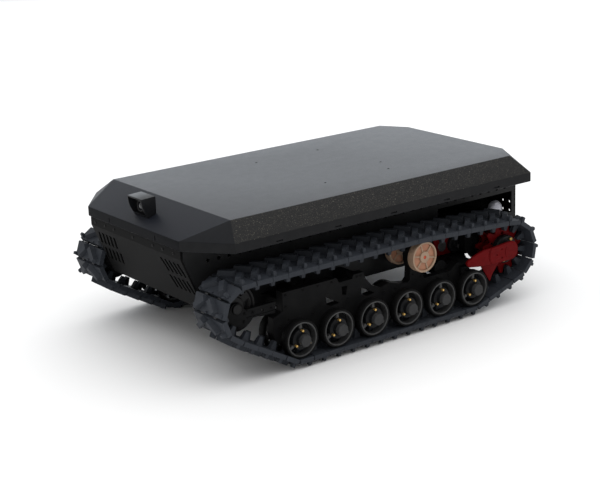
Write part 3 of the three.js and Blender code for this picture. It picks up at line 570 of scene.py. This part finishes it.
put("camera_barrel", ring_x("barrel", [(0, 768), (22, 768), (22, 779), (20.5, 781), (17.5, 781), (16, 777), (0, 777)], 0, 606), "black", "cover", replaces=("camera_lens",))
put("camera_glass", ring_x("glass", [(0, 776.5), (16.2, 776.5), (16.2, 777.4), (12, 780.4), (6, 782.4), (0, 783)], 0, 606), "lens", "cover", angle=60)

# ------------------------------------------------------------------ CAD nodes that keep their shape
fl = []
for y in (-292.4, -217.9, -148.9, -6.4, 137, 206.6, 280.3):
    fl.append(screw(817.6, y, 489.6, 5.2, 2.6, (1, 0, 0)))
for y in (-292, -218, -149, 0, 149, 218, 292):
    for z in (489.6, 236):
        fl.append(screw(-867.6, y, z, 5.2, 2.6, (-1, 0, 0)))
put("flange_screws", merge("fs", fl), "black", "chassis")
KEEP = {"hull_floor": "hull", "front_panel": "panel", "rear_panel": "panel", "deck_frame": "frame", "battery_box": "green", "controller_box": "alu"}
for t in ("left", "right"):
    KEEP.update({f"hull_side_{t}": "hull", f"side_beam_{t}": "frame", f"arm_bracket_{t}": "frame", f"roller_post_{t}": "frame"})
for node, m in KEEP.items():
    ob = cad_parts[node]
    ob.data.materials.clear(); ob.data.materials.append(M[m])

# ------------------------------------------------------------------ idlers, tensioner plates, motors, beam hardware
IX, IZ = IDLER
for s, tag in ((1, "left"), (-1, "right")):
    sg = (lambda a: a) if s > 0 else (lambda a: -a)
    T = lambda nm, pr, cx, cz, n=64, closed=False: turned(nm, [(r, sg(y)) for r, y in pr], cx, cz, n, closed)
    drum = T("drum", [(12, 421), (24, 418.6), (40, 420), (46, 426), (78, 426), (82, 420), (86, 418.5), (89, 419.5), (90.5, 422), (90.5, 446), (89, 448.5), (86, 449.5), (82, 448), (78, 442), (46, 442), (40, 448), (24, 449.6), (12, 449.8)], IX, IZ, 72, True)
    wins = []
    for q in range(6):
        a = math.radians(60 * q)
        pts = []
        for k in range(9):
            t = a + math.radians(-20 + 40 * k / 8); pts.append((IX + 74 * math.cos(t), IZ + 74 * math.sin(t)))
        for k in range(9):
            t = a + math.radians(13 - 26 * k / 8); pts.append((IX + 50 * math.cos(t), IZ + 50 * math.sin(t)))
        wins.append(curve_plate("w", pts, *side_y(s, 420, 452), bevel=0.01, seg=1))
    put(f"idler_drum_{tag}", cut(drum, wins), "black", f"idler_{tag}", replaces=(f"idler_{tag}",))
    put(f"idler_axle_{tag}", T("axle", [(0, 418.3), (12, 418.3), (12.2, 463), (19, 464.6), (19, 467.4), (17.6, 468.6), (0, 468.6)], IX, IZ, 32), "black", f"idler_{tag}")
    guard = [(IX + 86 * math.cos(math.pi + 0.62 + (math.pi - 0.70) * k / 24), IZ + 86 * math.sin(math.pi + 0.62 + (math.pi - 0.70) * k / 24)) for k in range(25)]
    shoe = [(503, 279), (503, 232), (590, 238), *guard, (IX + 34, 281), (IX + 24, 300), (IX + 12, 310), (IX - 12, 310), (IX - 24, 300), (IX - 34, 279.5)]
    put(f"tensioner_plate_{tag}", curve_plate("shoe", shoe, *side_y(s, 452, 462), holes=[circle(IX, IZ, 13.5, 28), circle(560, 257, 5, 14)], bevel=1.4), "frame", f"tensioner_{tag}", replaces=(f"tensioner_{tag}",))
    rods = [boxes("rib", [(505, 632, *side_y(s, 459, 468), 272, 279), (505, 632, *side_y(s, 459, 466), 240, 246)], 1.0)]
    rods += [screw(x, s * 461.8, z, 5, 4, (0, s, 0)) for x, z in ((520, 256), (604, 258), (640, 262), (700, 232), (672, 216), (644, 232))]
    put(f"tensioner_ribs_{tag}", merge("ribs", rods), "frame", f"tensioner_{tag}")
    mot = [T("dome", [(0, 286), (36, 286), (38, 288), (38, 296), (36.5, 302), (32, 308), (25, 312.6), (13, 315.4), (0, 316)], -778, 350, 48)]
    put(f"motor_body_{tag}", merge("mot", mot), "silver", "chassis", replaces=(f"drive_motor_{tag}",))
    can = [(0, 150), (30, 150), (36, 156)]
    for k in range(12):
        can += [(36, 160 + 8 * k), (36, 164 + 8 * k), (34.4, 165 + 8 * k), (34.4, 167 + 8 * k)]
    can += [(36, 258), (36, 270), (37.4, 276), (37.4, 286.2), (0, 286.2)]
    put(f"motor_can_{tag}", T("can", can, -778, 350, 48), "frame", "chassis")
    put(f"motor_feet_{tag}", boxes("feet", [(-800, -756, *side_y(s, 160, 190), 228.5, 330), (-800, -756, *side_y(s, 226, 256), 228.5, 330), (-806, -750, *side_y(s, 156, 194), 228.5, 235), (-806, -750, *side_y(s, 222, 260), 228.5, 235)], 1.2), "frame", "chassis")
    bits = [boxes("end", [(-462, -418, *side_y(s, 460.2, 476), 168, 211)], 2.0)]
    for x, z in ((486, 170), (452, 290), (452, 244), (300, 292), (372, 292), (234, 292), (112, 286), (94, 286), (-190, 256), (-172, 232), (-216, 216), (-300, 190), (-360, 190), (-80, 196), (-20, 196), (60, 222), (330, 190), (160, 210), (440, 190)):
        bits.append(screw(x, s * 459.8, z, 5.0, 3.2, (0, s, 0)))
    put(f"beam_hardware_{tag}", merge("bits", bits), "frame", "chassis")
    seam = boxes("seam", [(226, 470.5, *side_y(s, 458, 466), 298, 305), (466, 470.5, *side_y(s, 458, 465), 232, 300)], 1.0)
    put(f"beam_lip_{tag}", seam, "frame", "chassis")

for s, tag in ((1, "left"), (-1, "right")):
    sg = (lambda a: a) if s > 0 else (lambda a: -a)
    T = lambda nm, pr, cx, cz, n=64, closed=False: turned(nm, [(r, sg(y)) for r, y in pr], cx, cz, n, closed)
    put(f"drive_plate_{tag}", curve_plate("plate", [(-579, 228), (-393, 228), (-393, 300), (-410, 315.5), (-579, 315.5)], *side_y(s, 328.6, 336), bevel=1.4), "red", "chassis", replaces=(f"drive_gearbox_{tag}",))
    put(f"drive_cover_{tag}", merge("m", [turned("moon", [(r, sg(y)) for r, y in ((0, 335.4), (23, 335.4), (23, 337.2), (21.5, 338.2), (0, 338.2))], -438, 266, 40)]), "rim", "chassis")
    put(f"drive_can_{tag}", T("can", [(0, 334), (36, 334), (38, 336), (38, 348), (36.5, 350.6), (30, 352), (26, 350), (14, 350), (12, 352), (0, 352)], -504, 266, 64), "black", "chassis")
    put(f"drive_knob_{tag}", T("knob", [(0, 350), (9, 350), (9, 354), (8, 355.4), (0, 355.4)], -516, 255, 32), "rim", "chassis")
    put(f"gear_block_{tag}", merge("blk", [boxes("b", [(-590, -516, *side_y(s, 334, 392), 229, 305), (-584, -522, *side_y(s, 390, 394), 236, 298)], 2.0)] +
        [screw(x, s * 393.6, z, 4, 3, (0, s, 0)) for x, z in ((-577, 243), (-529, 243), (-529, 291), (-577, 291), (-553, 267))]), "frame", "chassis")
    put(f"gear_case_{tag}", merge("case", [T("gc", [(0, 329), (76, 329), (78, 331), (78, 347), (75, 350.4), (46, 355), (40, 360), (40, 365), (38.5, 366), (0, 366)], *SPR, 64)] +
        [screw(SPR[0] + 67 * math.cos(a), s * 350, SPR[1] + 67 * math.sin(a), 4.5, 4, (0, s, 0)) for a in [math.radians(30 + 60 * k) for k in range(6)]]), "frame", "chassis")

# ------------------------------------------------------------------ road wheels
def wheel_parts(s):
    f = (lambda pr: [(r, y) for r, y in pr]) if s > 0 else (lambda pr: [(r, -y) for r, y in pr])
    def T(nm, pr, n=56, closed=False): return turned(nm, f(pr), 0, 0, n, closed)
    tyre = []
    for a, b_ in ((496, 533), (352, 389)):
        tyre.append(T("tyre", [(67, a + 1), (70, a), (73, a + 0.8), (75, a + 4), (75, b_ - 4), (73, b_ - 0.8), (70, b_), (67, b_ - 1)], 64, True))
    rim = []
    for a, b_ in ((496, 533), (352, 389)):
        rim.append(T("rim", [(61.5, a + 6), (66.9, a + 2), (66.9, b_ - 1.2), (65.5, b_ + 0.2), (63, b_ + 0.2), (61.5, b_ - 1.5)], 64, True))
    # three spokes behind the ring, on each wheel
    for c0, c1 in ((508, 524), (362, 378)):
        for k in range(3):
            a = math.radians(90 + 120 * k)
            ux, uz = math.cos(a), math.sin(a); nx, nz = -uz, ux
            pts = [(ux * 30 + nx * 7, uz * 30 + nz * 7), (ux * 63 + nx * 4.5, uz * 63 + nz * 4.5), (ux * 63 - nx * 4.5, uz * 63 - nz * 4.5), (ux * 30 - nx * 7, uz * 30 - nz * 7)]
            rim.append(curve_plate("spoke", pts, *((c0, c1) if s > 0 else (-c1, -c0)), bevel=1.2))
            rim[-1].transform(Matrix.Translation(Vector((-SX * MM, 0, GZ * MM))))
    hub = [T("hub", [(0, 354), (34, 354), (40, 358), (40, 384), (24, 389.5), (12, 420), (12, 465), (24, 494), (41, 497), (41.5, 524), (40, 527), (27, 529.5), (25, 541), (0, 541)], 48)]
    cap = [T("cap", [(0, 540), (23.8, 540), (23.6, 554), (22.6, 557), (21, 558), (0, 558)], 48)]
    bolts = []
    for k in range(3):
        a = math.radians(90 + 120 * k)
        x, z = 35 * math.cos(a), 35 * math.sin(a)
        bolts.append(screw(x - SX, s * 526, z + GZ, 4.6, 13, (0, s, 0), 12, False))
    # turned() and screw() place at the vehicle origin offset; bring hub pieces back to 0
    for me in tyre + [r_ for r_ in rim[:2]] + hub + cap:
        me.transform(Matrix.Translation(Vector((-SX * MM, 0, GZ * MM))))
    return merge("tyre", tyre), merge("rim", rim), merge("hub", hub), merge("cap", cap), merge("bolts", bolts)


def place(me, x, z, name):
    c = me.copy(); c.name = name
    c.transform(Matrix.Translation(Vector(((x + SX) * MM, 0, (z - GZ) * MM))))
    return c


for s, L in ((1, "L"), (-1, "R")):
    tyre, rim, hub, cap, bolts = wheel_parts(s)
    for i in range(6):
        x = 434.6 - 174.26 * i; body = f"road_wheel_{L}{i + 1}"
        put(f"tyre_{L}{i + 1}", place(tyre, x, 130, "tyre"), "tyre", body, replaces=(f"road_tyre_{L}{i + 1}",))
        put(f"rim_{L}{i + 1}", place(rim, x, 130, "rim"), "rim", body, replaces=(f"road_wheel_{L}{i + 1}",))
        put(f"hub_{L}{i + 1}", place(hub, x, 130, "hub"), "hub", body)
        put(f"hub_cap_{L}{i + 1}", place(cap, x, 130, "cap"), "cap", body)
        put(f"hub_bolts_{L}{i + 1}", place(bolts, x, 130, "bolts"), "brass", body)
    for me in (tyre, rim, hub, cap, bolts):
        bpy.data.meshes.remove(me)

# ------------------------------------------------------------------ return rollers
for s, tag in ((1, "left"), (-1, "right")):
    sg = (lambda a: a) if s > 0 else (lambda a: -a)
    parts, idx = [], []
    for a, b_ in ((496, 531), (357, 389)):
        # grooved tread, outer rim lip, recessed web
        tread = [(52, a + 2), (60.5, a + 1)]
        k = 0
        y = a + 3
        while y < b_ - 4:
            tread += [(61.8, y), (61.8, y + 2.6), (60.6, y + 3.2), (60.6, y + 3.8)]
            y += 4.4
        tread += [(61.8, b_ - 2.5), (60.5, b_), (54.5, b_), (53.6, b_ - 1.2), (53.6, b_ - 9), (52, b_ - 9)]
        parts.append(turned("tread", [(r, sg(y)) for r, y in tread], ROL[0], ROL[1], 72, True)); idx.append(0)
        parts.append(turned("web", [(r, sg(y)) for r, y in [(10, a + 6), (53, a + 6), (53, b_ - 8), (10, b_ - 8)]], ROL[0], ROL[1], 64, True)); idx.append(1)
        parts.append(turned("boss", [(r, sg(y)) for r, y in [(7.4, a + 2), (22, a + 2), (23, a + 4), (23, b_ - 1.2), (22, b_), (7.4, b_)]], ROL[0], ROL[1], 48, True)); idx.append(0)
        for q in range(6):
            an = math.radians(60 * q + 12)
            ux, uz = math.cos(an), math.sin(an)
            pts = [(ROL[0] + ux * 21 - uz * 3, ROL[1] + uz * 21 + ux * 3), (ROL[0] + ux * 54 - uz * 3, ROL[1] + uz * 54 + ux * 3), (ROL[0] + ux * 54 + uz * 3, ROL[1] + uz * 54 - ux * 3), (ROL[0] + ux * 21 + uz * 3, ROL[1] + uz * 21 - ux * 3)]
            parts.append(curve_plate("rib", pts, *side_y(s, b_ - 12, b_ - 3), bevel=1.0)); idx.append(0)
    parts.append(turned("pin", [(r, sg(y)) for r, y in [(0, 358), (7.2, 358), (7.2, 529), (6, 530), (0, 530)]], ROL[0], ROL[1], 32)); idx.append(2)
    me = merge("roller", parts, idx)
    for m in ("roller", "pocket", "dot"):
        me.materials.append(M[m])
    put(f"return_roller_body_{tag}", me, "roller", f"return_roller_{tag}", replaces=(f"return_roller_{tag}",))

# ------------------------------------------------------------------ sprockets, hubs, arms
rear = min(NODES, key=lambda p: p[0])
PH = math.atan2(rear[1] - SPR[1], rear[0] - SPR[0])
for s, tag in ((1, "left"), (-1, "right")):
    sg = (lambda a: a) if s > 0 else (lambda a: -a)
    star = []
    for i in range(TEETH):
        a = 2 * math.pi * i / TEETH + PH
        for r_, da in ((76, -0.2856), (80, -0.215), (93, -0.13), (102, -0.10), (107.2, -0.072), (107.9, 0.03), (104.5, 0.07), (95, 0.125), (82, 0.205)):
            star.append((SPR[0] + r_ * math.cos(a + da), SPR[1] + r_ * math.sin(a + da)))
    parts = []
    for a, b_ in ((459, 468), (417, 426)):
        holes = [circle(*SPR, 52, 40)]
        for q in range(TEETH):
            an = 2 * math.pi * (q + 0.5) / TEETH + PH
            if q % 2 == 0 and q < 10:
                holes.append(circle(SPR[0] + 64.5 * math.cos(an), SPR[1] + 64.5 * math.sin(an), 6.8, 18))
        parts.append(curve_plate("disc", star, *side_y(s, a, b_), holes=holes, bevel=1.5, seg=2))
    # barrel between the discs
    parts.append(turned("barrel", [(r, sg(y)) for r, y in [(44, 368), (56, 368), (58, 372), (58, 414), (54, 417), (54, 468), (44, 468)]], *SPR, 56, True))
    put(f"sprocket_discs_{tag}", merge("discs", parts), "red", f"sprocket_{tag}", replaces=(f"sprocket_{tag}",))
    hub = [turned("ring", [(r, sg(y)) for r, y in [(0, 440), (58, 440), (58, 490), (55, 494), (36, 494), (34, 488), (0, 488)]], *SPR, 56)]
    put(f"sprocket_ring_{tag}", merge("ring", hub), "black", f"sprocket_{tag}")
    put(f"sprocket_core_{tag}", turned("core", [(r, sg(y)) for r, y in [(0, 487), (32, 487), (32, 500), (29, 503), (0, 503)]], *SPR, 48), "teal", f"sprocket_{tag}", replaces=(f"sprocket_hub_{tag}",))
    bl = []
    for k in range(4):
        a = math.radians(26 + 90 * k)
        bl.append(screw(SPR[0] + 46 * math.cos(a), s * 487, SPR[1] + 46 * math.sin(a), 6.2, 15, (0, s, 0), 16, True))
    put(f"sprocket_bolts_{tag}", merge("bl", bl), "brass", f"sprocket_{tag}")
    arm = []
    for i in range(25):
        a = math.radians(80 + 200 * i / 24)
        arm.append((SPR[0] + 39.5 * math.cos(a), SPR[1] + 1 + 39.5 * math.sin(a)))
    arm += [(-545, 206.5), (-505, 209), (-474, 212), (-440, 217), (-422, 220), (-411, 227), (-407, 238), (-412, 247), (-428, 255), (-462, 266), (-491, 273.5), (-515, 276), (-545, 276)]
    holes = [circle(-600.7, 260.7, 3.2, 12), circle(-573.2, 240.6, 3.2, 12), circle(-601.4, 222.9, 3.2, 12)]
    arm_me = curve_plate("arm", arm, *side_y(s, 510.3, 522), holes=holes, bevel=2.0, seg=3)
    # three curved grooves cut into the arm
    grooves = []
    for cx, r0, r1, a0, a1 in ((-592, 58, 61, -33, 33), (-592, 63.5, 66.5, -30, 30), (SPR[0] - 6, 38, 41, -36, 36)):
        arc = [(cx + r1 * math.cos(math.radians(a0 + (a1 - a0) * k / 12)), 243 + r1 * math.sin(math.radians(a0 + (a1 - a0) * k / 12))) for k in range(13)]
        arc += [(cx + r0 * math.cos(math.radians(a1 - (a1 - a0) * k / 12)), 243 + r0 * math.sin(math.radians(a1 - (a1 - a0) * k / 12))) for k in range(13)]
        grooves.append(curve_plate("g", arc, *side_y(s, 520.6, 526), bevel=0.01, seg=1))
    arm_me = cut(arm_me, grooves)
    blade = curve_plate("blade", [(-493, 212), (-499, 199), (-530, 151), (-542.6, 132.5), (-555, 158), (-584, 192), (-598, 208)], *side_y(s, 503.2, 511), bevel=1.6, seg=2)
    put(f"sprocket_blade_{tag}", blade, "red", "chassis", angle=28)
    put(f"sprocket_arm_plate_{tag}", arm_me, "red", "chassis", replaces=(f"sprocket_arm_{tag}",), angle=28)

# ------------------------------------------------------------------ stage, light, camera
def stage():
    me = bpy.data.meshes.new("floor")
    n = 1
    v = [(-30, -30, -0.002), (30, -30, -0.002), (30, 30, -0.002), (-30, 30, -0.002)]
    me.from_pydata(v, [], [(0, 1, 2, 3)])
    ob = bpy.data.objects.new("floor", me); bpy.context.scene.collection.objects.link(ob)
    m, nt, b = new_mat("floor_white")
    b.inputs["Base Color"].default_value = (0.93, 0.93, 0.93, 1); b.inputs["Roughness"].default_value = 0.9
    b.inputs["Specular IOR Level"].default_value = 0.1
    me.materials.append(m)


stage()
w = bpy.data.worlds.new("studio"); bpy.context.scene.world = w
w.use_nodes = True
w.node_tree.nodes["Background"].inputs[0].default_value = (1, 1, 1, 1)
w.node_tree.nodes["Background"].inputs[1].default_value = 0.62


def area(name, loc, target, size, power, color=(1, 1, 1)):
    d = bpy.data.lights.new(name, "AREA"); d.shape = "RECTANGLE"; d.size, d.size_y = size; d.energy = power; d.color = color
    o = bpy.data.objects.new(name, d); bpy.context.scene.collection.objects.link(o)
    o.location = loc
    o.rotation_euler = (Vector(target) - Vector(loc)).to_track_quat("-Z", "Y").to_euler()
    return o


area("overhead", (0.0, 0.0, 9.0), (0, 0, 0), (18, 18), 1050)
area("back_panel", (-6.4, -8.2, 2.6), (0, 0, 0.6), (15, 3.6), 270, (0.84, 0.92, 1.0))

cam = bpy.data.cameras.new("camera")
cam.sensor_width = 36.0
cam.lens = 36.0 * 1477.6268658856757 / 600.0
cam.clip_start, cam.clip_end = 0.1, 100
co = bpy.data.objects.new("camera", cam); bpy.context.scene.collection.objects.link(co)
C = P(3477.8011864231285, 4693.740000854206, 2050.1392606452646)
rv = Vector((0.746045074885386, 2.1451223660878798, -1.6193135755638692))
R = Matrix.Rotation(rv.length, 3, rv.normalized())       # world -> camera, x right, y down, z forward
rot = Matrix((R[0], -R[1], -R[2])).transposed()
co.matrix_world = Matrix.Translation(C) @ rot.to_4x4()
bpy.context.scene.camera = co
sc = bpy.context.scene
sc.view_settings.view_transform = "Standard"
